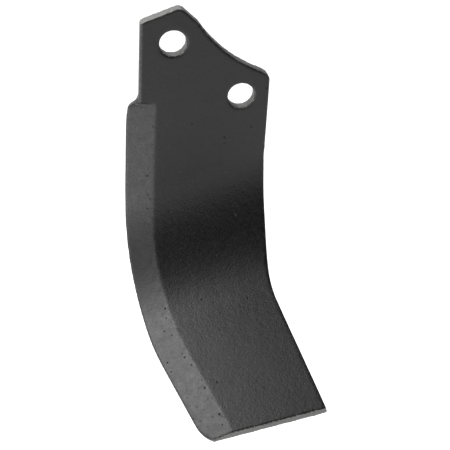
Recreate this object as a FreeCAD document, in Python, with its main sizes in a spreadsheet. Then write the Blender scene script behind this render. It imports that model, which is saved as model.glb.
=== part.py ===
import FreeCAD, Part
import math
import os
import Sketcher

# Rotary tiller blade, C pattern: one forged spring-steel bar.
# The origin is midway between the two bolt holes, on the flat back face that seats
# on the rotor flange. +Z runs up the shank and -Y points out of the hollow front
# face, so the blade hangs down and its tip curls towards -Y.
# The cutting edge, the bend and the cropped end are set out on the flat blank,
# measured over its front face, and each cross-section is then carried round the bend.

drivingSizes = {
    # bar
    "thickness": 7.0,         # full thickness of the bar
    "barWidth": 81.3,         # width of the shank
    "barRound": 1.0,          # rolled edge radius of the bar
    "shankCut": 8.0,          # where the plain bar ends, below the origin
    # bolt holes, on a diagonal
    "boltCircle": 57.0,       # distance between the hole centres
    "boltAngle": 40.0,        # slope of the line through the holes, degrees
    "holeDiameter": 16.5,     # clears an M16 bolt
    "holeRollover": 1.2,      # rim drawn in by the punch on the front face
    "edgeDistance": 20.0,     # upper hole centre to the straight left edge
    # crown above the upper hole
    "crownRise": 23.1,        # crest above the upper hole centre
    "crownShift": 3.8,        # crest to the right of the upper hole centre
    "roofSlope": 21.5,        # fall from the crest to the left edge, degrees
    "crestSlope": 42.0,       # fall from the crest to the hollow, degrees
    "crownRound": 4.0,        # radius at the crest
    "hollowRadius": 90.0,     # hollow side between the holes
    "hollowClear": 16.0,      # line of the holes to the deepest point of the hollow
    "cropRollover": 1.2,      # rim drawn in by the shear along the hollow
    "cornerRound": 11.0,      # corner between the hollow and the right side
    "cornerSlope": 24.0,      # lean off the right side at its lower end, degrees
    # cutting edge, left side
    "flareStart": 15.6,       # where the edge starts to spread, below the origin
    "flareIn": 8.0,           # radius out of the straight left edge
    "flareRun": 1.6,          # straight length of the flare
    "flareOut": 6.0,          # radius into the cutting edge
    "flareAngle": 52.0,       # steepest lean of the flare, degrees
    "leadAngle": 5.0,         # lean to the left at the head of the cutting edge, degrees
    "leadRadius": 200.0,      # slow arc that takes up this lean
    "edgeStraight": 60.0,     # straight cutting edge above its curve
    "edgeRadius": 197.0,      # curve of the cutting edge in the blank
    "edgeSweep": 29.5,        # turn of that curve, degrees
    # pressed bevel
    "bevelWidth": 18.0,       # across the bevel
    "edgeThickness": 2.0,     # steel left at the cutting edge
    "edgeRound": 0.5,         # radius along the cutting edge
    "bevelTop": 20.2,         # head of the bevel, below the origin
    "bevelRamp": 2.6,         # length over which the bevel reaches its full depth
    # right side
    "backStart": 50.0,        # where the right side leaves the straight, below the origin
    "backEase": 1200.0,       # radius of its first slow curve
    "backEaseSweep": 2.6,     # turn of that curve, degrees
    "backRun": 24.6,          # straight run after it
    "backRadius": 90.0,       # radius of its second curve
    "backSweep": 20.0,        # turn of that curve, degrees
    # bend and cropped end
    "bendSlope": 18.0,        # slope of the bend lines across the bar, degrees
    "bendStart": 66.8,        # origin to the first bend line
    "bendRadius": 78.0,       # radius of the hollow front face
    "bendAngle": 70.0,        # turn of the blade, degrees
    "blankLength": 248.1,     # origin to the cropped end, along the blank
    "endSlope": 14.0,         # slope of the cropped end across the bar, degrees
    "tipRound": 24.0,         # radius where the cutting edge turns in to its point
    "tipEase": 13.5,          # length of edge that this turn takes up
}

# How closely the cross-sections follow each other
shoulderSteps = 24
leadSteps = 4
bendSteps = 7
tipSteps = 5


class Sizes:
    """The driving sizes, read back from the sheet, with the angles in radians."""

    def __init__(self, sheet):
        for name in drivingSizes:
            value = float(sheet.get(name))
            isAngle = name.endswith(("Angle", "Slope", "Sweep"))
            setattr(self, name, math.radians(value) if isAngle else value)
        self.holeX = self.boltCircle / 2 * math.cos(self.boltAngle)
        self.holeZ = self.boltCircle / 2 * math.sin(self.boltAngle)
        self.left = -self.holeX - self.edgeDistance
        self.right = self.left + self.barWidth
        self.bevelDepth = self.thickness - self.edgeThickness


class Chain:
    """Tangent straights and arcs down the blank, starting straight down at z = 0."""

    def __init__(self, x):
        self.knots = []
        self.length = 0.0
        self.x = x
        self.z = 0.0
        self.heading = 0.0

    def add(self, run, turn=0.0):
        """Go on for a length, turning evenly; a positive turn is to the right."""
        knot = (self.length, self.x, self.z, self.heading, turn / run)
        self.knots.append(knot)
        self.length += run
        self.x, self.z = self.walk(knot, run)
        self.heading += turn
        return self

    def arc(self, radius, turn):
        return self.add(radius * abs(turn), turn)

    @staticmethod
    def walk(knot, run):
        _start, x, z, heading, curvature = knot
        if curvature == 0.0:
            return x + run * math.sin(heading), z - run * math.cos(heading)
        ahead = heading + curvature * run
        x += (math.cos(heading) - math.cos(ahead)) / curvature
        z -= (math.sin(ahead) - math.sin(heading)) / curvature
        return x, z

    def at(self, distance):
        reached = [knot for knot in self.knots if knot[0] <= distance]
        knot = reached[-1] if reached else self.knots[0]
        return self.walk(knot, distance - knot[0])

    def crossing(self, line):
        """Where the chain meets a line across the blank, found by halving."""
        low = -self.length
        high = 3 * self.length
        for _halving in range(60):
            middle = (low + high) / 2
            if line.beyond(*self.at(middle)) < 0:
                low = middle
            else:
                high = middle
        return line.along(*self.at(middle))


class Line:
    """A line across the blank, by its slope and its distance below the origin."""

    def __init__(self, slope, distance):
        self.slope = slope
        self.distance = distance

    def beyond(self, x, z):
        return x * math.sin(self.slope) - z * math.cos(self.slope) - self.distance

    def along(self, x, z):
        return x * math.cos(self.slope) + z * math.sin(self.slope)


def cuttingEdge(v):
    """The straight left edge, its flare at the shoulder and the curved cutting edge."""
    chain = Chain(v.left).add(v.flareStart)
    chain.arc(v.flareIn, -v.flareAngle).add(v.flareRun)
    chain.arc(v.flareOut, v.flareAngle - v.leadAngle)
    chain.arc(v.leadRadius, v.leadAngle).add(v.edgeStraight)
    return chain.arc(v.edgeRadius, v.edgeSweep).add(v.edgeRadius)


def bevelLine(v):
    """The inner line of the bevel, parallel to the cutting edge all the way."""
    edge = cuttingEdge(v)
    _start, x, z, _heading, _curvature = edge.knots[-2]
    chain = Chain(x + v.bevelWidth).add(-z)
    return chain.arc(v.edgeRadius - v.bevelWidth, v.edgeSweep).add(v.edgeRadius)


def rightSide(v):
    chain = Chain(v.right).add(v.backStart)
    chain.arc(v.backEase, v.backEaseSweep).add(v.backRun)
    return chain.arc(v.backRadius, v.backSweep).add(v.edgeRadius)


def bentFrame(v, line):
    """Where a line of the blank ends up: the placement of its cross-section.

    In the section, x runs along the line and y out of the front face, from y = 0 there.
    """
    acrossBend = FreeCAD.Vector(math.cos(v.bendSlope), 0, math.sin(v.bendSlope))
    downBend = FreeCAD.Vector(math.sin(v.bendSlope), 0, -math.cos(v.bendSlope))
    outward = FreeCAD.Vector(0, -1, 0)
    skew = line.slope - v.bendSlope
    reach = line.distance / math.cos(skew)
    run = min(max(reach - v.bendStart, 0.0), v.bendRadius * v.bendAngle)
    turn = run / v.bendRadius
    onward = downBend * math.cos(turn) + outward * math.sin(turn)
    facing = outward * math.cos(turn) - downBend * math.sin(turn)
    foot = downBend * (min(reach, v.bendStart) + v.bendRadius * math.sin(turn))
    foot += outward * (v.thickness + v.bendRadius * (1 - math.cos(turn)))
    foot += onward * max(reach - v.bendStart - run, 0.0)
    across = acrossBend * math.cos(skew) - onward * math.sin(skew)
    start = foot + across * (line.distance * math.tan(skew))
    turned = FreeCAD.Rotation(across, facing, across.cross(facing), "XYZ")
    return FreeCAD.Placement(start, turned)


def smoothStep(share):
    share = min(max(share, 0.0), 1.0)
    return share * share * (3 - 2 * share)


def sectionCorners(v, line):
    """The bar cut along a line: each corner's x and y, and its radius."""
    pressed = smoothStep((line.distance - v.bevelTop) / v.bevelRamp)
    back = cuttingEdge(v).crossing(line)
    straightEdge = Chain(v.left).add(v.flareStart).crossing(line)
    front = straightEdge + (back - straightEdge) * pressed
    inner = bevelLine(v).crossing(line)
    right = rightSide(v).crossing(line)
    leftRound = v.barRound + (v.edgeRound - v.barRound) * pressed
    return [
        (inner, 0.0, 0.0),
        (right, 0.0, v.barRound),
        (right, -v.thickness, v.barRound),
        (back, -v.thickness, leftRound),
        (front, -v.bevelDepth * pressed, leftRound),
    ]


def roundedOutline(corners):
    """A closed outline of straights and corner arcs from (x, y, radius) corners."""
    stops = []
    for index, (x, y, radius) in enumerate(corners):
        corner = FreeCAD.Vector(x, y, 0)
        before = FreeCAD.Vector(*corners[index - 1][:2], 0) - corner
        after = FreeCAD.Vector(*corners[(index + 1) % len(corners)][:2], 0) - corner
        before.normalize()
        after.normalize()
        half = before.getAngle(after) / 2
        if radius == 0.0:
            stops.append((corner, None, corner))
            continue
        inward = (before + after).normalize()
        reach = radius / math.tan(half)
        middle = corner + inward * (radius / math.sin(half) - radius)
        stops.append((corner + before * reach, middle, corner + after * reach))
    outline = []
    for index, (arrive, middle, leave) in enumerate(stops):
        if middle is not None:
            outline.append(Part.Arc(arrive, middle, leave))
        outline.append(Part.LineSegment(leave, stops[(index + 1) % len(stops)][0]))
    return outline


def closedBy(stops):
    """The straights from stop to stop that close an outline."""
    return [Part.LineSegment(start, end) for start, end in zip(stops, stops[1:])]


def originPlane(body, role):
    return next(plane for plane in body.Origin.OriginFeatures if plane.Role == role)


def newSketch(body, name, role, placement=FreeCAD.Placement()):
    sketch = body.newObject("Sketcher::SketchObject", name)
    sketch.AttachmentSupport = (originPlane(body, role), "")
    sketch.MapMode = "FlatFace"
    sketch.AttachmentOffset = placement
    return sketch


def sectionSketch(body, v, name, line):
    sketch = newSketch(body, name, "XY_Plane", bentFrame(v, line))
    sketch.addGeometry(roundedOutline(sectionCorners(v, line)), False)
    return sketch


def span(first, last, count):
    """Section lines that turn evenly from one line of the blank to another."""
    shares = [step / count for step in range(count + 1)]
    return [
        Line(
            first.slope + (last.slope - first.slope) * share,
            first.distance + (last.distance - first.distance) * share,
        )
        for share in shares
    ]


def bladeSpans(v):
    """The lofts that follow each other below the plain bar, by name."""
    barEnd = Line(0.0, v.shankCut)
    flareEnd = Line(0.0, v.bevelTop + 2 * v.bevelRamp + v.flareOut)
    bendStart = Line(v.bendSlope, v.bendStart)
    bendEnd = Line(v.bendSlope, v.bendStart + v.bendRadius * v.bendAngle)
    cropped = Line(v.endSlope, v.blankLength)
    return {
        "shoulder": span(barEnd, flareEnd, shoulderSteps),
        "lead": span(flareEnd, bendStart, leadSteps),
        "bend": span(bendStart, bendEnd, bendSteps),
        "tip": span(bendEnd, cropped, tipSteps),
    }


def shankBar(body, v):
    """The plain bar above the shoulder, long enough for the crown to be cropped from it."""
    bar = body.newObject("PartDesign::Pad", "shankBar")
    bar.Profile = sectionSketch(body, v, "barSection", Line(0.0, v.shankCut))
    bar.setExpression("Length", "sizes.shankCut + sizes.boltCircle / 2 + sizes.crownRise")
    bar.Reversed = True
    return bar


def hollowCentre(v):
    """Centre of the hollow side, square to the line of the holes."""
    square = FreeCAD.Vector(math.sin(v.boltAngle), math.cos(v.boltAngle), 0)
    return square * (v.hollowRadius + v.hollowClear)


def crownCorners(v):
    """The crest, the top of the hollow side and the end of the roof past the bar."""
    past = v.barWidth / 4
    crest = FreeCAD.Vector(v.crownShift - v.holeX, v.holeZ + v.crownRise, 0)
    roofRun = crest.x - v.left + past
    roofEnd = crest - FreeCAD.Vector(roofRun, roofRun * math.tan(v.roofSlope), 0)
    fall = FreeCAD.Vector(math.cos(v.crestSlope), -math.sin(v.crestSlope), 0)
    centre = hollowCentre(v)
    toCrest = crest - centre
    slide = toCrest.dot(fall)
    fallRun = -slide - math.sqrt(slide ** 2 - toCrest.Length ** 2 + v.hollowRadius ** 2)
    return crest, crest + fall * fallRun, roofEnd


def arcThrough(start, end, centre, radius):
    """The short arc from start to end about a centre."""
    middle = ((start + end) / 2 - centre).normalize() * radius + centre
    return Part.Arc(start, middle, end)


def sideCorner(v):
    """The corner between the hollow and the right side: its centre, start and end."""
    centre = hollowCentre(v)
    x = v.right - v.cornerRound * math.cos(v.cornerSlope)
    fall = math.sqrt((v.hollowRadius + v.cornerRound) ** 2 - (x - centre.x) ** 2)
    middle = FreeCAD.Vector(x, centre.y - fall, 0)
    start = centre + (middle - centre).normalize() * v.hollowRadius
    outward = FreeCAD.Vector(math.cos(v.cornerSlope), math.sin(v.cornerSlope), 0)
    return middle, start, middle + outward * v.cornerRound


def croppedCrown(body, v):
    """Crop the top to its crest and the hollow side that clears the rotor hub."""
    crest, hollowTop, roofEnd = crownCorners(v)
    corner, cornerStart, cornerEnd = sideCorner(v)
    leaving = FreeCAD.Vector(math.sin(v.cornerSlope), -math.cos(v.cornerSlope), 0)
    runOff = cornerEnd + leaving * v.cornerRound
    roof = (roofEnd - crest).normalize()
    fall = (hollowTop - crest).normalize()
    half = roof.getAngle(fall) / 2
    ease = v.crownRound / math.tan(half)
    crown = crest + (roof + fall).normalize() * (v.crownRound / math.sin(half) - v.crownRound)
    top = crest.y + v.boltCircle
    above = [FreeCAD.Vector(runOff.x, top, 0), FreeCAD.Vector(roofEnd.x, top, 0)]
    outline = [
        Part.LineSegment(roofEnd, crest + roof * ease),
        Part.Arc(crest + roof * ease, crown, crest + fall * ease),
        Part.LineSegment(crest + fall * ease, hollowTop),
        arcThrough(hollowTop, cornerStart, hollowCentre(v), v.hollowRadius),
        arcThrough(cornerStart, cornerEnd, corner, v.cornerRound),
    ]
    sketch = newSketch(body, "crownOutline", "XZ_Plane")
    sketch.addGeometry([*outline, *closedBy([cornerEnd, runOff, *above, roofEnd])], False)
    crop = body.newObject("PartDesign::Pocket", "croppedCrown")
    crop.Profile = sketch
    crop.Type = "ThroughAll"
    crop.Midplane = True
    return crop


def turnedCut(body, name, centre, outline):
    """Cut round an axis square to the shank; the outline's x is the distance from it."""
    place = FreeCAD.Placement(FreeCAD.Vector(centre.x, 0, centre.y), FreeCAD.Rotation())
    sketch = newSketch(body, f"{name}Outline", "XY_Plane", place)
    sketch.addGeometry(outline, False)
    cut = body.newObject("PartDesign::Groove", name)
    cut.Profile = sketch
    cut.ReferenceAxis = (sketch, ["V_Axis"])
    cut.Angle = 360
    return cut


def rolledRim(v, radius, roll):
    """The rounded front rim of a wall at a radius, and its two ends."""
    onWall = FreeCAD.Vector(radius, roll - v.thickness, 0)
    onFace = FreeCAD.Vector(radius + roll, -v.thickness, 0)
    inset = roll * (1 - math.cos(math.pi / 4))
    middle = FreeCAD.Vector(radius + inset, inset - v.thickness, 0)
    return Part.Arc(onWall, middle, onFace), onWall, onFace


def punchedHole(body, v, name, centre):
    """A bolt hole with the rim that the punch draws in on the front face."""
    rim, onWall, onFace = rolledRim(v, v.holeDiameter / 2, v.holeRollover)
    past = FreeCAD.Vector(0, v.thickness, 0)
    stops = [
        onFace,
        onFace - past,
        FreeCAD.Vector(0, -2 * v.thickness, 0),
        FreeCAD.Vector(0, v.thickness, 0),
        FreeCAD.Vector(onWall.x, v.thickness, 0),
        onWall,
    ]
    return turnedCut(body, name, centre, [rim, *closedBy(stops)])


def shearedRim(body, v):
    """The front rim that the shear draws in along the hollow side."""
    rim, onWall, onFace = rolledRim(v, v.hollowRadius, v.cropRollover)
    outside = FreeCAD.Vector(onWall.x - v.cropRollover, onFace.y - v.cropRollover, 0)
    return turnedCut(body, "shearedRim", hollowCentre(v), [rim, *closedBy([onFace, outside, onWall])])


def formedSpan(body, v, name, lines):
    """One stretch of the blade, lofted through its cross-sections."""
    sketches = [sectionSketch(body, v, f"{name}{n:02d}", line) for n, line in enumerate(lines)]
    loft = body.newObject("PartDesign::AdditiveLoft", name)
    loft.Profile = sketches[0]
    loft.Sections = sketches[1:]
    loft.Ruled = False
    loft.Closed = False
    return loft


def roundedPoint(body, v, cropped):
    """Turn the cutting edge in to its point: an arc tangent to it, up to the cropped end."""
    upright = FreeCAD.Rotation(FreeCAD.Vector(1, 0, 0), -90)
    tipFace = bentFrame(v, cropped).multiply(FreeCAD.Placement(FreeCAD.Vector(), upright))
    corner = FreeCAD.Vector(cuttingEdge(v).crossing(cropped), 0, 0)
    lean = v.edgeSweep - cropped.slope
    edgeward = FreeCAD.Vector(-math.sin(lean), math.cos(lean), 0)
    inward = FreeCAD.Vector(math.cos(lean), math.sin(lean), 0)
    start = corner + edgeward * v.tipEase
    centre = start + inward * v.tipRound
    point = FreeCAD.Vector(centre.x - math.sqrt(v.tipRound ** 2 - centre.y ** 2), 0, 0)
    outside = [point, point - edgeward * v.tipEase, start - inward * v.tipEase, start]
    sketch = newSketch(body, "pointOutline", "XY_Plane", tipFace)
    turn = arcThrough(start, point, centre, v.tipRound)
    sketch.addGeometry([turn, *closedBy(outside)], False)
    trim = body.newObject("PartDesign::Pocket", "roundedPoint")
    trim.Profile = sketch
    trim.Midplane = True
    trim.setExpression("Length", "sizes.thickness * 4")
    return trim


def makeSheet(doc):
    sheet = doc.addObject("Spreadsheet::Sheet", "sizes")
    for row, (name, value) in enumerate(drivingSizes.items(), start=1):
        sheet.set(f"A{row}", name)
        sheet.set(f"B{row}", str(value))
        sheet.setAlias(f"B{row}", name)
    doc.recompute()
    return sheet


def makeBlade(doc, v):
    body = doc.addObject("PartDesign::Body", "blade")
    body.Label = "blade"
    shankBar(body, v)
    for name, lines in bladeSpans(v).items():
        formedSpan(body, v, name, lines)
    roundedPoint(body, v, lines[-1])
    croppedCrown(body, v)
    shearedRim(body, v)
    punchedHole(body, v, "upperHole", FreeCAD.Vector(-v.holeX, v.holeZ, 0))
    punchedHole(body, v, "lowerHole", FreeCAD.Vector(v.holeX, -v.holeZ, 0))
    doc.recompute()
    return body


def checkedDocument(doc):
    for item in doc.Objects:
        if "Invalid" in item.State or "Error" in item.State:
            raise RuntimeError(f"{item.Name} did not build: {item.State}")


doc = FreeCAD.newDocument("tillerBlade")
v = Sizes(makeSheet(doc))
blade = makeBlade(doc, v)
checkedDocument(doc)
if blade.Shape.isNull() or not blade.Shape.isValid():
    raise RuntimeError("the blade is not a valid solid")
os.makedirs("parts", exist_ok=True)
blade.Shape.exportStep(f"parts/{blade.Label}.step")
print(f"{blade.Label}: {len(blade.Shape.Faces)} faces, {blade.Shape.Volume:.0f} mm3")
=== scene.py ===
import math

import bmesh
import bpy
import numpy as np
from mathutils import Matrix, Vector, noise


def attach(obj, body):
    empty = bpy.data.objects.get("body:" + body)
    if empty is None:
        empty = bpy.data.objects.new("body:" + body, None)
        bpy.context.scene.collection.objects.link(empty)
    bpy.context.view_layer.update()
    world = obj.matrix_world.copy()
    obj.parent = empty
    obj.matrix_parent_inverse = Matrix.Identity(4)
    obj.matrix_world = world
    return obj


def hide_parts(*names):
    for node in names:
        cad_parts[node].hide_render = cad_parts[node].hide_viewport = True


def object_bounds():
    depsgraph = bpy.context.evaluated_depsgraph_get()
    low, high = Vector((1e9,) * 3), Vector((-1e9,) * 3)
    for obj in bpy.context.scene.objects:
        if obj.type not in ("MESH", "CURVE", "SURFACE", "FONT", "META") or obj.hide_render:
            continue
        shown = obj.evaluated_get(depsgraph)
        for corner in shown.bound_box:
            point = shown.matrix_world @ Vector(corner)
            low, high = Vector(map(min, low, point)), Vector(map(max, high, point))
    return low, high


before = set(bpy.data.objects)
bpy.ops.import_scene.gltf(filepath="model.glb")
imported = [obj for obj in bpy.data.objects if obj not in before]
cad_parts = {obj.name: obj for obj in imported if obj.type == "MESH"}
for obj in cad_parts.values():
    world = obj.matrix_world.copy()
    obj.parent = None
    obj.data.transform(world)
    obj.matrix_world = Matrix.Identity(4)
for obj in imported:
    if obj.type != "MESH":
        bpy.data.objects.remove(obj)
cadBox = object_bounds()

# A tiller blade: one bar of spring steel, black paint over a rolled and forged skin.
# Metres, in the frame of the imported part: +Z up the shank, -Y out of the hollow front.


def newObject(name, mesh):
    thing = bpy.data.objects.new(name, mesh)
    bpy.context.scene.collection.objects.link(thing)
    return thing


def newMaterial(name):
    material = bpy.data.materials.new(name)
    material.use_nodes = True
    material.node_tree.nodes.clear()
    return material, material.node_tree


# ---- camera
view = {
    "place": (-0.13918, -0.70873, 0.34856),
    "right": (0.98159, -0.18403, 0.05117),
    "up": (0.05739, 0.53964, 0.83994),
    "lens": 104.0,
    "sensor": 36.0,
}


def addCamera(values):
    right = Vector(values["right"]).normalized()
    up = Vector(values["up"])
    up = (up - right * up.dot(right)).normalized()
    back = right.cross(up)
    cameraData = bpy.data.cameras.new("camera")
    cameraData.lens = values["lens"]
    cameraData.sensor_width = values["sensor"]
    cameraData.clip_start = 0.01
    cameraData.clip_end = 50.0
    camera = newObject("camera", cameraData)
    turned = Matrix((right, up, back)).transposed().to_4x4()
    camera.matrix_world = Matrix.Translation(values["place"]) @ turned
    bpy.context.scene.camera = camera
    return camera


camera = addCamera(view)
bpy.context.scene.view_settings.view_transform = "Standard"
print("camera placed")

# ---- studio
studio = {
    "floorDrop": 0.30,          # floor below the lowest point of the blade
    "floorSize": 7.0,
    "floorColour": (0.82, 0.82, 0.82, 1.0),
    "floorGlow": 0.80,          # paper's own white where it is seen directly
    "roomLight": 0.40,          # the room's light on the object
    "cardColour": (0.004, 0.004, 0.004, 1.0),
}
# azimuth is counted from -Y towards +X, and every distance is from the middle of the blade
cards = {
    # azimuth, elevation, distance, width, height
    "frontCard": (14.0, 36.0, 1.10, 2.70, 2.00),
    "rightCard": (98.0, 25.0, 1.20, 2.40, 2.60),
    "highCard": (120.0, 74.0, 0.95, 0.95, 1.20),
}
lamps = {
    # azimuth, elevation, distance, width, height, watts
    "leftLamp": (-98.0, 38.0, 0.60, 0.42, 0.42, 3.9),
    "lowLamp": (-46.0, -28.0, 0.70, 0.40, 0.24, 1.9),
    "topLamp": (178.0, 40.0, 1.00, 0.70, 0.50, 2.6),
}


def joined(tree, operation, first, second):
    step = tree.nodes.new("ShaderNodeMath")
    step.operation = operation
    tree.links.new(first, step.inputs[0])
    tree.links.new(second, step.inputs[1])
    return step.outputs[0]


def isSeenDirectly(tree):
    path = tree.nodes.new("ShaderNodeLightPath")
    either = joined(tree, "MAXIMUM", path.outputs["Is Camera Ray"], path.outputs["Is Glossy Ray"])
    return joined(tree, "MAXIMUM", either, path.outputs["Is Transmission Ray"])


def addRoom(values):
    world = bpy.data.worlds.new("room")
    bpy.context.scene.world = world
    world.use_nodes = True
    tree = world.node_tree
    tree.nodes.clear()
    room = tree.nodes.new("ShaderNodeBackground")
    room.inputs["Color"].default_value = (1.0, 1.0, 1.0, 1.0)
    room.inputs["Strength"].default_value = values["roomLight"]
    white = tree.nodes.new("ShaderNodeBackground")
    white.inputs["Color"].default_value = (1.0, 1.0, 1.0, 1.0)
    white.inputs["Strength"].default_value = 1.0
    mix = tree.nodes.new("ShaderNodeMixShader")
    tree.links.new(isSeenDirectly(tree), mix.inputs[0])
    tree.links.new(room.outputs[0], mix.inputs[1])
    tree.links.new(white.outputs[0], mix.inputs[2])
    out = tree.nodes.new("ShaderNodeOutputWorld")
    tree.links.new(mix.outputs[0], out.inputs["Surface"])


def addSheet(name, width, height, matrix, material):
    x, y = width / 2, height / 2
    mesh = bpy.data.meshes.new(name)
    mesh.from_pydata([(-x, -y, 0), (x, -y, 0), (x, y, 0), (-x, y, 0)], [], [(0, 1, 2, 3)])
    mesh.materials.append(material)
    sheet = newObject(name, mesh)
    sheet.matrix_world = matrix
    return sheet


def around(target, azimuth, elevation, distance):
    turn, rise = math.radians(azimuth), math.radians(elevation)
    away = Vector((math.sin(turn) * math.cos(rise), -math.cos(turn) * math.cos(rise), math.sin(rise)))
    turned = away.to_track_quat("Z", "Y").to_matrix().to_4x4()
    return Matrix.Translation(target + away * distance) @ turned


def addFloor(values, lowest):
    material, tree = newMaterial("floorPaper")
    lit = tree.nodes.new("ShaderNodeBsdfDiffuse")
    lit.inputs["Color"].default_value = values["floorColour"]
    glow = tree.nodes.new("ShaderNodeEmission")
    glow.inputs["Color"].default_value = (1.0, 1.0, 1.0, 1.0)
    glow.inputs["Strength"].default_value = values["floorGlow"]
    none = tree.nodes.new("ShaderNodeEmission")
    none.inputs["Strength"].default_value = 0.0
    mix = tree.nodes.new("ShaderNodeMixShader")
    tree.links.new(isSeenDirectly(tree), mix.inputs[0])
    tree.links.new(none.outputs[0], mix.inputs[1])
    tree.links.new(glow.outputs[0], mix.inputs[2])
    both = tree.nodes.new("ShaderNodeAddShader")
    tree.links.new(lit.outputs[0], both.inputs[0])
    tree.links.new(mix.outputs[0], both.inputs[1])
    out = tree.nodes.new("ShaderNodeOutputMaterial")
    tree.links.new(both.outputs[0], out.inputs["Surface"])
    place = Matrix.Translation((0.0, 0.0, lowest - values["floorDrop"]))
    return addSheet("floor", values["floorSize"], values["floorSize"], place, material)


def addCards(values, sheets, target):
    material, tree = newMaterial("darkCard")
    dark = tree.nodes.new("ShaderNodeBsdfDiffuse")
    dark.inputs["Color"].default_value = values["cardColour"]
    out = tree.nodes.new("ShaderNodeOutputMaterial")
    tree.links.new(dark.outputs[0], out.inputs["Surface"])
    for name, (azimuth, elevation, distance, width, height) in sheets.items():
        card = addSheet(name, width, height, around(target, azimuth, elevation, distance), material)
        card.visible_camera = False
        card.visible_diffuse = False


def addLamps(values, target):
    for name, (azimuth, elevation, distance, width, height, watts) in values.items():
        lampData = bpy.data.lights.new(name, "AREA")
        lampData.shape = "RECTANGLE"
        lampData.size = width
        lampData.size_y = height
        lampData.energy = watts
        lamp = newObject(name, lampData)
        lamp.matrix_world = around(target, azimuth, elevation, distance)
        lamp.visible_camera = False


centre = (cadBox[0] + cadBox[1]) / 2
addRoom(studio)
addFloor(studio, cadBox[0].z)
addCards(studio, cards, centre)
addLamps(lamps, centre)
print("studio lit")

# ---- blade
form = {
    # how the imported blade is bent, so that its surface can be laid out flat
    "thickness": 0.007,
    "bendSlope": math.radians(18.0),
    "bendStart": 0.0668,
    "bendRadius": 0.078,
    "bendAngle": math.radians(70.0),
    "endSlope": math.radians(14.0),
    "blankLength": 0.2481,
    "holes": ((-0.021832, 0.01832), (0.021832, -0.01832)),
    "holeRadius": 0.00825,
    "crownFoot": -0.012,        # below this no wall is cropped but the end
}
skin = {
    "voxel": 0.00084,           # size of the mesh faces
    "softenRounds": 2,          # rounds of smoothing over the edges
    "swellSize": 0.016,         # slow unevenness left by rolling and forging
    "swellDepth": 0.00006,
    "rippleSize": 0.0045,
    "rippleDepth": 0.00002,
    "shearSize": 0.0016,        # torn texture of the cropped and punched walls
    "shearDepth": 0.00014,
    "hammerSize": 0.0042,       # uneven inner border and point of the bevel
    "hammerDepth": 0.00012,
}


def laidFlat(points, normals, values):
    # blank coordinates (across, up, out of the front face) and the part of the normal that faces out
    slope, start, radius = values["bendSlope"], values["bendStart"], values["bendRadius"]
    angle, thickness = values["bendAngle"], values["thickness"]
    across = np.array((math.cos(slope), 0.0, math.sin(slope)))
    down = np.array((math.sin(slope), 0.0, -math.cos(slope)))
    out = np.array((0.0, -1.0, 0.0))
    a, d, o = points @ across, points @ down, points @ out
    turn = np.clip(np.arctan2(d - start, thickness + radius - o), 0.0, angle)
    turn[d < start] = 0.0
    onward = np.outer(np.cos(turn), down) + np.outer(np.sin(turn), out)
    outward = np.outer(np.cos(turn), out) - np.outer(np.sin(turn), down)
    foot = np.outer(start + radius * np.sin(turn), down)
    foot += np.outer(thickness + radius * (1.0 - np.cos(turn)), out)
    foot += np.outer(a, across)
    rest = points - foot
    reach = start + radius * turn + (rest * onward).sum(1)
    reach = np.where(d < start, d, reach)
    depth = np.where(d < start, o - thickness, (rest * outward).sum(1))
    flat = np.stack((a * across[0] + reach * down[0], a * across[2] + reach * down[2], depth), 1)
    ahead = (normals * onward).sum(1)
    aside = normals @ across
    facingOut = (normals * outward).sum(1)
    up = aside * across[2] + ahead * down[2]
    return flat, facingOut, up


def denseCopy(source, values):
    dense = bmesh.new()
    dense.from_mesh(source.data)
    bmesh.ops.remove_doubles(dense, verts=dense.verts, dist=1e-6)
    mesh = bpy.data.meshes.new("bladeRough")
    dense.to_mesh(mesh)
    dense.free()
    rough = newObject("bladeRough", mesh)
    remesh = rough.modifiers.new("even faces", "REMESH")
    remesh.mode = "VOXEL"
    remesh.voxel_size = values["voxel"]
    graph = bpy.context.evaluated_depsgraph_get()
    even = bpy.data.meshes.new_from_object(rough.evaluated_get(graph))
    bpy.data.objects.remove(rough)
    even.name = "bladeSkin"
    even.materials.clear()
    return even


def positions(mesh):
    flatList = np.empty(len(mesh.vertices) * 3)
    mesh.vertices.foreach_get("co", flatList)
    return flatList.reshape(-1, 3)


def meshNormals(mesh):
    flatList = np.empty(len(mesh.vertices) * 3)
    mesh.vertex_normals.foreach_get("vector", flatList)
    return flatList.reshape(-1, 3)


def edgePairs(mesh):
    pairs = np.empty(len(mesh.edges) * 2, dtype=np.int64)
    mesh.edges.foreach_get("vertices", pairs)
    return pairs.reshape(-1, 2)


def neighbourMean(amounts, pairs):
    count = len(amounts)
    both = np.concatenate((pairs[:, 0], pairs[:, 1]))
    other = np.concatenate((pairs[:, 1], pairs[:, 0]))
    share = np.maximum(np.bincount(both, minlength=count), 1)
    if amounts.ndim == 1:
        return np.bincount(both, weights=amounts[other], minlength=count) / share
    columns = [np.bincount(both, weights=amounts[other, i], minlength=count) for i in range(amounts.shape[1])]
    return np.stack(columns, 1) / share[:, None]


def softened(amounts, pairs, rounds):
    for _round in range(rounds):
        amounts = (amounts + neighbourMean(amounts, pairs)) / 2
    return amounts


def movedTo(mesh, points):
    mesh.vertices.foreach_set("co", points.ravel())
    mesh.update()


def convexity(points, normals, pairs):
    run = points[pairs[:, 1]] - points[pairs[:, 0]]
    swing = normals[pairs[:, 1]] - normals[pairs[:, 0]]
    bend = (run * swing).sum(1) / np.maximum((run * run).sum(1), 1e-12)
    count = len(points)
    total = np.bincount(pairs[:, 0], weights=bend, minlength=count)
    total += np.bincount(pairs[:, 1], weights=bend, minlength=count)
    share = np.bincount(pairs.ravel(), minlength=count)
    return total / np.maximum(share, 1)


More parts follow.
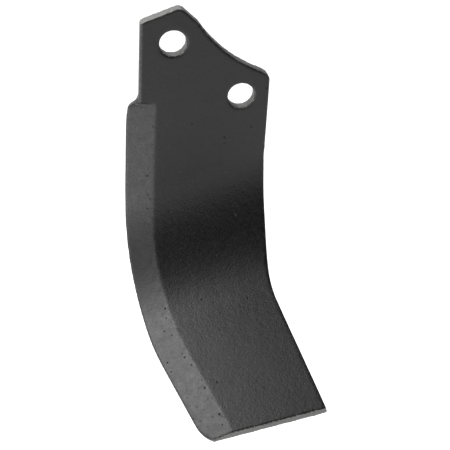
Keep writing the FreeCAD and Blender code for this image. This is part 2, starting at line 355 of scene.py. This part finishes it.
def roughField(points, size, seed):
    offset = Vector((seed * 3.1, seed * 1.7, seed * 2.3))
    return np.array([noise.noise(Vector(p) / size + offset) for p in points])


def smoothStep(low, high, amounts):
    share = np.clip((amounts - low) / (high - low), 0.0, 1.0)
    return share * share * (3.0 - 2.0 * share)


def storeField(mesh, name, amounts):
    kind = "FLOAT" if amounts.ndim == 1 else "FLOAT_VECTOR"
    field = mesh.attributes.new(name, kind, "POINT")
    field.data.foreach_set("value" if amounts.ndim == 1 else "vector", amounts.ravel().astype(np.float32))


def bladeSkin(source, values, shape):
    mesh = denseCopy(source, values)
    pairs = edgePairs(mesh)
    points = softened(positions(mesh), pairs, values["softenRounds"])
    movedTo(mesh, points)
    normals = meshNormals(mesh)
    flat, facingOut, up = laidFlat(points, normals, shape)

    wall = smoothStep(0.35, 0.75, 1.0 - np.abs(facingOut))
    fromEnd = shape["blankLength"] - (flat[:, 0] * math.sin(shape["endSlope"]) - flat[:, 1] * math.cos(shape["endSlope"]))
    atEnd = smoothStep(0.0030, 0.0008, fromEnd)
    atCrown = smoothStep(0.25, 0.6, up) * (flat[:, 1] > shape["crownFoot"])
    atHole = np.zeros(len(points))
    for x, z in shape["holes"]:
        away = np.hypot(flat[:, 0] - x, flat[:, 1] - z)
        atHole = np.maximum(atHole, smoothStep(0.0022, 0.0010, away - shape["holeRadius"]))
    sheared = wall * np.maximum(np.maximum(atEnd, atCrown), atHole)
    onFront = smoothStep(0.6, 0.85, facingOut)
    bevel = np.clip(-flat[:, 2] / 0.005, 0.0, 1.0) * (facingOut > 0.3)
    tip = smoothStep(0.060, 0.010, fromEnd)
    low = smoothStep(-0.060, -0.120, flat[:, 1])
    innerBorder = np.exp(-((bevel - 0.12) / 0.13) ** 2) * onFront * (bevel > 0.01)

    swell = roughField(flat, values["swellSize"], 1) * values["swellDepth"]
    ripple = roughField(flat, values["rippleSize"], 2) * values["rippleDepth"]
    torn = roughField(points, values["shearSize"], 3) * values["shearDepth"]
    hammer = roughField(flat, values["hammerSize"], 4) * values["hammerDepth"]
    push = (swell + ripple) * (1.0 - sheared) + torn * softened(sheared, pairs, 2)
    push += hammer * (innerBorder * (0.35 + 0.65 * low) + 0.8 * tip * (bevel > 0.05) * onFront)
    points = points + normals * push[:, None]
    lowest, highest = (np.array(corner) for corner in cadBox)
    points = np.clip(points, lowest, highest)
    movedTo(mesh, points)

    storeField(mesh, "blank", flat)
    storeField(mesh, "sheared", softened(sheared, pairs, 2))
    storeField(mesh, "bevel", softened(bevel, pairs, 1))
    storeField(mesh, "border", softened(innerBorder, pairs, 2))
    storeField(mesh, "tip", tip)
    storeField(mesh, "low", low)
    storeField(mesh, "edge", softened(np.clip(convexity(points, meshNormals(mesh), pairs) / 900.0, -1.0, 1.0), pairs, 1))
    mesh.polygons.foreach_set("use_smooth", [True] * len(mesh.polygons))
    print("blade skin:", len(mesh.vertices), "points,", len(mesh.polygons), "faces")
    return newObject("bladeSkin", mesh)


# ---- paint
facePaint = {
    "colour": (0.0062, 0.0062, 0.0064, 1.0),
    "worn": (0.050, 0.049, 0.047, 1.0),
    "roughness": (0.36, 0.50),
    "grain": (0.0012, 0.000120),        # size and depth of the paint's fine grain
    "wrinkle": (0.0032, 0.000110),      # size and depth of its slower wrinkles
    "specks": (0.0030, 0.035),          # spacing of the bright specks, and how many cells hold one
    "pits": (0.0042, 0.05),
    "edgeWear": 0.35,
}
# the bevel's paint: the face paint's black, with its colour and worn colour made lighter as painted light for
# the brighter light the bevel catches; its rougher grain, pits and wear are its own
bevelPaintWithPaintedLight = {
    "colour": (0.0120, 0.0120, 0.0120, 1.0),
    "worn": (0.090, 0.088, 0.084, 1.0),
    "roughness": (0.40, 0.54),
    "grain": (0.0015, 0.000090),
    "wrinkle": (0.0046, 0.000110),
    "specks": (0.0026, 0.05),
    "pits": (0.0030, 0.10),
    "edgeWear": 0.70,
}
shearPaint = {
    "colour": (0.150, 0.149, 0.146, 1.0),
    "worn": (0.42, 0.415, 0.405, 1.0),
    "roughness": (0.46, 0.62),
    "grain": (0.0008, 0.000060),
    "wrinkle": (0.0022, 0.000110),
    "specks": (0.0018, 0.16),
    "pits": (0.0022, 0.14),
    "edgeWear": 0.85,
}


def step(tree, operation, first, second=None, third=None, clamp=False):
    node = tree.nodes.new("ShaderNodeMath")
    node.operation = operation
    node.use_clamp = clamp
    for socket, source in zip(node.inputs, (first, second, third)):
        if source is None:
            continue
        if isinstance(source, (int, float)):
            socket.default_value = source
        else:
            tree.links.new(source, socket)
    return node.outputs[0]


def newGroup(name, inputs, outputs):
    group = bpy.data.node_groups.new(name, "ShaderNodeTree")
    for label, kind in inputs:
        group.interface.new_socket(label, in_out="INPUT", socket_type=kind)
    for label, kind in outputs:
        group.interface.new_socket(label, in_out="OUTPUT", socket_type=kind)
    return group, group.nodes.new("NodeGroupInput"), group.nodes.new("NodeGroupOutput")


def noiseIn(tree, vector, size, detail, roughness=0.55):
    node = tree.nodes.new("ShaderNodeTexNoise")
    node.inputs["Detail"].default_value = detail
    node.inputs["Roughness"].default_value = roughness
    tree.links.new(vector, node.inputs["Vector"])
    tree.links.new(step(tree, "DIVIDE", 1.0, size), node.inputs["Scale"])
    return node.outputs[0]


def grainGroup():
    # fine grain and slower wrinkles of the paint: a height in metres and an even tone
    tree, given, result = newGroup(
        "paintGrain",
        [("Vector", "NodeSocketVector"), ("Grain Size", "NodeSocketFloat"), ("Grain Depth", "NodeSocketFloat"),
         ("Wrinkle Size", "NodeSocketFloat"), ("Wrinkle Depth", "NodeSocketFloat")],
        [("Height", "NodeSocketFloat"), ("Tone", "NodeSocketFloat")],
    )
    fine = noiseIn(tree, given.outputs["Vector"], given.outputs["Grain Size"], 3.0)
    slow = noiseIn(tree, given.outputs["Vector"], given.outputs["Wrinkle Size"], 2.0)
    high = step(tree, "MULTIPLY", fine, given.outputs["Grain Depth"])
    low = step(tree, "MULTIPLY", slow, given.outputs["Wrinkle Depth"])
    tree.links.new(step(tree, "ADD", high, low), result.inputs["Height"])
    tree.links.new(step(tree, "MULTIPLY", step(tree, "ADD", fine, slow), 0.5), result.inputs["Tone"])
    return tree


def fleckGroup():
    # small scattered flecks: one in some cells of an even spacing
    tree, given, result = newGroup(
        "flecks",
        [("Vector", "NodeSocketVector"), ("Spacing", "NodeSocketFloat"), ("Share", "NodeSocketFloat"),
         ("Reach", "NodeSocketFloat")],
        [("Mask", "NodeSocketFloat")],
    )
    cells = tree.nodes.new("ShaderNodeTexVoronoi")
    tree.links.new(given.outputs["Vector"], cells.inputs["Vector"])
    tree.links.new(step(tree, "DIVIDE", 1.0, given.outputs["Spacing"]), cells.inputs["Scale"])
    parts = tree.nodes.new("ShaderNodeSeparateColor")
    tree.links.new(cells.outputs["Color"], parts.inputs[0])
    chosen = step(tree, "LESS_THAN", parts.outputs[0], given.outputs["Share"])
    reach = step(tree, "MULTIPLY", given.outputs["Reach"], step(tree, "ADD", parts.outputs[1], 0.4))
    near = step(tree, "SUBTRACT", 1.0, step(tree, "DIVIDE", cells.outputs["Distance"], reach), clamp=True)
    sharp = step(tree, "MULTIPLY", near, 2.5, clamp=True)
    tree.links.new(step(tree, "MULTIPLY", chosen, sharp), result.inputs["Mask"])
    return tree


def wearGroup():
    # paint rubbed off standing edges, broken up by noise
    tree, given, result = newGroup(
        "edgeWear",
        [("Vector", "NodeSocketVector"), ("Edge", "NodeSocketFloat"), ("Amount", "NodeSocketFloat")],
        [("Mask", "NodeSocketFloat")],
    )
    patchy = noiseIn(tree, given.outputs["Vector"], 0.0035, 4.0, 0.65)
    bare = step(tree, "SUBTRACT", patchy, 0.42)
    lift = step(tree, "MULTIPLY", bare, 4.0, clamp=True)
    edge = step(tree, "MULTIPLY", given.outputs["Edge"], 1.4, clamp=True)
    worn = step(tree, "MULTIPLY", step(tree, "MULTIPLY", edge, lift), given.outputs["Amount"], clamp=True)
    tree.links.new(worn, result.inputs["Mask"])
    return tree


def placed(tree, group, **values):
    node = tree.nodes.new("ShaderNodeGroup")
    node.node_tree = group
    for label, source in values.items():
        socket = node.inputs[label.replace("_", " ")]
        if isinstance(source, (int, float)):
            socket.default_value = source
        else:
            tree.links.new(source, socket)
    return node


def field(tree, name, output="Fac"):
    node = tree.nodes.new("ShaderNodeAttribute")
    node.attribute_name = name
    return node.outputs[output]


def blended(tree, mask, base, over):
    node = tree.nodes.new("ShaderNodeMix")
    node.data_type = "RGBA"
    for socket, source in ((node.inputs[0], mask), (node.inputs[6], base), (node.inputs[7], over)):
        if isinstance(source, tuple):
            socket.default_value = source
        else:
            tree.links.new(source, socket)
    return node.outputs[2]


def paintMaterial(name, values, groups, extraPits):
    material, tree = newMaterial(name)
    grain, flecks, wear = groups
    at = field(tree, "blank", "Vector")
    skinGrain = placed(
        tree, grain, Vector=at, Grain_Size=values["grain"][0], Grain_Depth=values["grain"][1],
        Wrinkle_Size=values["wrinkle"][0], Wrinkle_Depth=values["wrinkle"][1],
    )
    specks = placed(tree, flecks, Vector=at, Spacing=values["specks"][0], Share=values["specks"][1], Reach=0.16)
    pits = placed(tree, flecks, Vector=at, Spacing=values["pits"][0], Share=values["pits"][1], Reach=0.22)
    pitMask = pits.outputs["Mask"]
    if extraPits:
        more = placed(tree, flecks, Vector=at, Spacing=0.0024, Share=0.45, Reach=0.30)
        rough = step(tree, "MAXIMUM", field(tree, "border"), step(tree, "MULTIPLY", field(tree, "tip"), 0.30))
        lower = step(tree, "MULTIPLY", rough, step(tree, "ADD", field(tree, "low"), 0.25), clamp=True)
        pitMask = step(tree, "MAXIMUM", pitMask, step(tree, "MULTIPLY", more.outputs["Mask"], lower))
    worn = placed(tree, wear, Vector=at, Edge=field(tree, "edge"), Amount=values["edgeWear"])
    tone = step(tree, "MULTIPLY_ADD", skinGrain.outputs["Tone"], 2.4, -0.7, clamp=True)
    darker = tuple(channel * 0.6 for channel in values["colour"][:3]) + (1.0,)
    colour = blended(tree, tone, darker, values["colour"])
    bare = step(tree, "MAXIMUM", worn.outputs["Mask"], step(tree, "MULTIPLY", specks.outputs["Mask"], 0.8))
    colour = blended(tree, bare, colour, values["worn"])
    colour = blended(tree, pitMask, colour, (0.003, 0.003, 0.003, 1.0))
    low, high = values["roughness"]
    roughness = step(tree, "MULTIPLY_ADD", tone, high - low, low)
    roughness = step(tree, "MULTIPLY_ADD", pitMask, 0.3, roughness, clamp=True)
    height = step(tree, "MULTIPLY_ADD", pitMask, -0.00016, skinGrain.outputs["Height"])
    height = step(tree, "MULTIPLY_ADD", specks.outputs["Mask"], 0.00006, height)
    bump = tree.nodes.new("ShaderNodeBump")
    bump.inputs["Strength"].default_value = 1.0
    bump.inputs["Distance"].default_value = 1.0
    tree.links.new(height, bump.inputs["Height"])
    shader = tree.nodes.new("ShaderNodeBsdfPrincipled")
    tree.links.new(colour, shader.inputs["Base Color"])
    tree.links.new(roughness, shader.inputs["Roughness"])
    tree.links.new(bump.outputs[0], shader.inputs["Normal"])
    out = tree.nodes.new("ShaderNodeOutputMaterial")
    tree.links.new(shader.outputs[0], out.inputs["Surface"])
    return material


def faceShares(mesh, name):
    amounts = np.empty(len(mesh.vertices), dtype=np.float32)
    mesh.attributes[name].data.foreach_get("value", amounts)
    corners = np.empty(len(mesh.loops), dtype=np.int64)
    mesh.loops.foreach_get("vertex_index", corners)
    starts = np.empty(len(mesh.polygons), dtype=np.int64)
    mesh.polygons.foreach_get("loop_start", starts)
    return amounts[corners[starts]]


blade = bladeSkin(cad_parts["blade"], skin, form)
groups = (grainGroup(), fleckGroup(), wearGroup())
blade.data.materials.append(paintMaterial("facePaint", facePaint, groups, False))
blade.data.materials.append(paintMaterial("bevelPaintWithPaintedLight", bevelPaintWithPaintedLight, groups, True))
blade.data.materials.append(paintMaterial("shearPaint", shearPaint, groups, False))
finish = np.where(faceShares(blade.data, "bevel") > 0.03, 1, 0)
finish = np.where(faceShares(blade.data, "sheared") > 0.45, 2, finish)
blade.data.polygons.foreach_set("material_index", finish.astype(np.int32))
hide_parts("blade")
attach(blade, "root")
print("blade painted")
